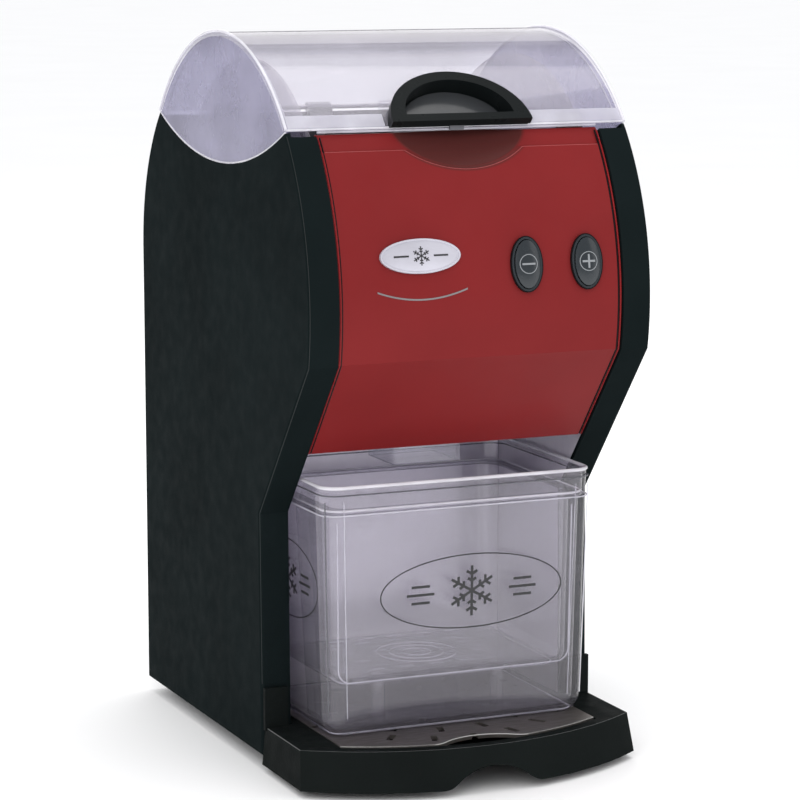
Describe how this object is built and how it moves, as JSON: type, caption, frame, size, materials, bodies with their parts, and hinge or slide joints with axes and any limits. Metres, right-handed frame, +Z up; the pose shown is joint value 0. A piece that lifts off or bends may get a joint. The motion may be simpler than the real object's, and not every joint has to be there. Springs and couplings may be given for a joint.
{
  "type": "shaved ice machine",
  "caption": "Countertop ice crusher with side shells, curved front panel, hinged clear lid, push buttons, clear ice bin with basket, drip tray and geared crushing drum.",
  "frame": {"origin": "on the surface the feet stand on, below the middle of the object's box", "axes": "+Z up; the front faces -Y; +X is on the right of a front view"},
  "size_m": [0.221, 0.3126, 0.4435],
  "materials": {
    "shell": "fine moulded grain, satin",
    "panel": "deep satin red, fine grain",
    "clear": "clear polycarbonate with a faint cool tint",
    "frosted": "frosted clear polycarbonate",
    "button": "dark glossy grey",
    "grip": "black satin",
    "bright": "polished",
    "grille": "satin grey-brown",
    "plate": "brushed",
    "bracket": "zinc plated",
    "steel": "ground",
    "cast": "die cast",
    "motor": "dark enamel",
    "bearing": "sintered bronze",
    "rubber": "matte",
    "board": "printed circuit board",
    "inner": "plain moulded",
    "food": "light food-safe plastic",
    "pins": "plated"
  },
  "bodies": {
    "root": {"right_side_shell": "shell", "left_side_shell": "shell", "tie_rods": "bracket", "tie_rod_screws": "steel", "front_panel": "panel", "button_bezels": "grip", "button_switches": "inner", "control_board": "board", "board_posts": "inner", "badge_plate": "bright", "rear_cover": "shell", "rear_rails": "bracket", "rear_cover_screws": "steel", "power_inlet": "inner", "inlet_pins": "pins", "floor_plate": "inner", "rubber_feet": "rubber", "foot_screws": "steel", "right_bay_panel": "plate", "left_bay_panel": "plate", "bay_back_plate": "plate", "bay_ceiling": "plate", "crusher_housing": "cast", "drum_bearings": "bearing", "fixed_comb": "steel", "housing_screws": "steel", "discharge_chute": "food", "motor_gearbox": "cast", "motor_housing": "motor", "motor_end_cap": "inner", "motor_bracket": "bracket", "gearbox_screws": "steel", "motor_saddle": "rubber", "run_capacitor": "cast", "capacitor_clamp": "inner", "power_board": "board", "board_spacers": "inner", "ice_hopper": "clear", "hinge_rod": "steel", "hinge_brackets": "bracket", "reed_switch": "inner"},
    "lid": {"lid_roof": "clear", "right_lid_cheek": "frosted", "left_lid_cheek": "frosted", "lid_handle": "grip", "lid_magnet": "inner"},
    "minus_key": {"minus_button": "button"},
    "plus_key": {"plus_button": "button"},
    "tray": {"drip_tray": "shell", "drip_grille": "grille"},
    "bin": {"ice_bin": "clear"},
    "basket": {"ice_basket": "clear"},
    "drum": {"crushing_drum": "steel", "drum_shaft": "steel", "drum_gear": "steel"},
    "pinion": {"motor_pinion": "steel", "motor_shaft": "steel"}
  },
  "joints": [
    {"name": "lid_hinge", "type": "hinge", "parent": "root", "child": "lid", "pos_m": [0, 0.121, 0.39], "axis": [-1, 0, 0], "range_deg": [0, 100]},
    {"name": "minus_press", "type": "slide", "parent": "root", "child": "minus_key", "axis": [0, 0.9877, -0.1564], "range_m": [0, 0.002], "stiffness_N_per_m": 900},
    {"name": "plus_press", "type": "slide", "parent": "root", "child": "plus_key", "axis": [0, 0.9877, -0.1564], "range_m": [0, 0.002], "stiffness_N_per_m": 900},
    {"name": "tray_slide", "type": "slide", "parent": "root", "child": "tray", "axis": [0, -1, 0], "range_m": [0, 0.1]},
    {"name": "bin_slide", "type": "slide", "parent": "tray", "child": "bin", "axis": [0, -1, 0], "range_m": [0, 0.14]},
    {"name": "basket_lift", "type": "slide", "parent": "bin", "child": "basket", "axis": [0, 0, 1], "range_m": [0, 0.014]},
    {"name": "drum_spin", "type": "hinge", "parent": "root", "child": "drum", "pos_m": [0, -0.008, 0.258], "axis": [1, 0, 0], "continuous": true},
    {"name": "pinion_spin", "type": "hinge", "parent": "root", "child": "pinion", "pos_m": [0, 0.05343, 0.244], "axis": [1, 0, 0], "continuous": true}
  ],
  "couplings": [
    {"joint": "pinion_spin", "follows": "drum_spin", "ratio": -2.5}
  ]
}
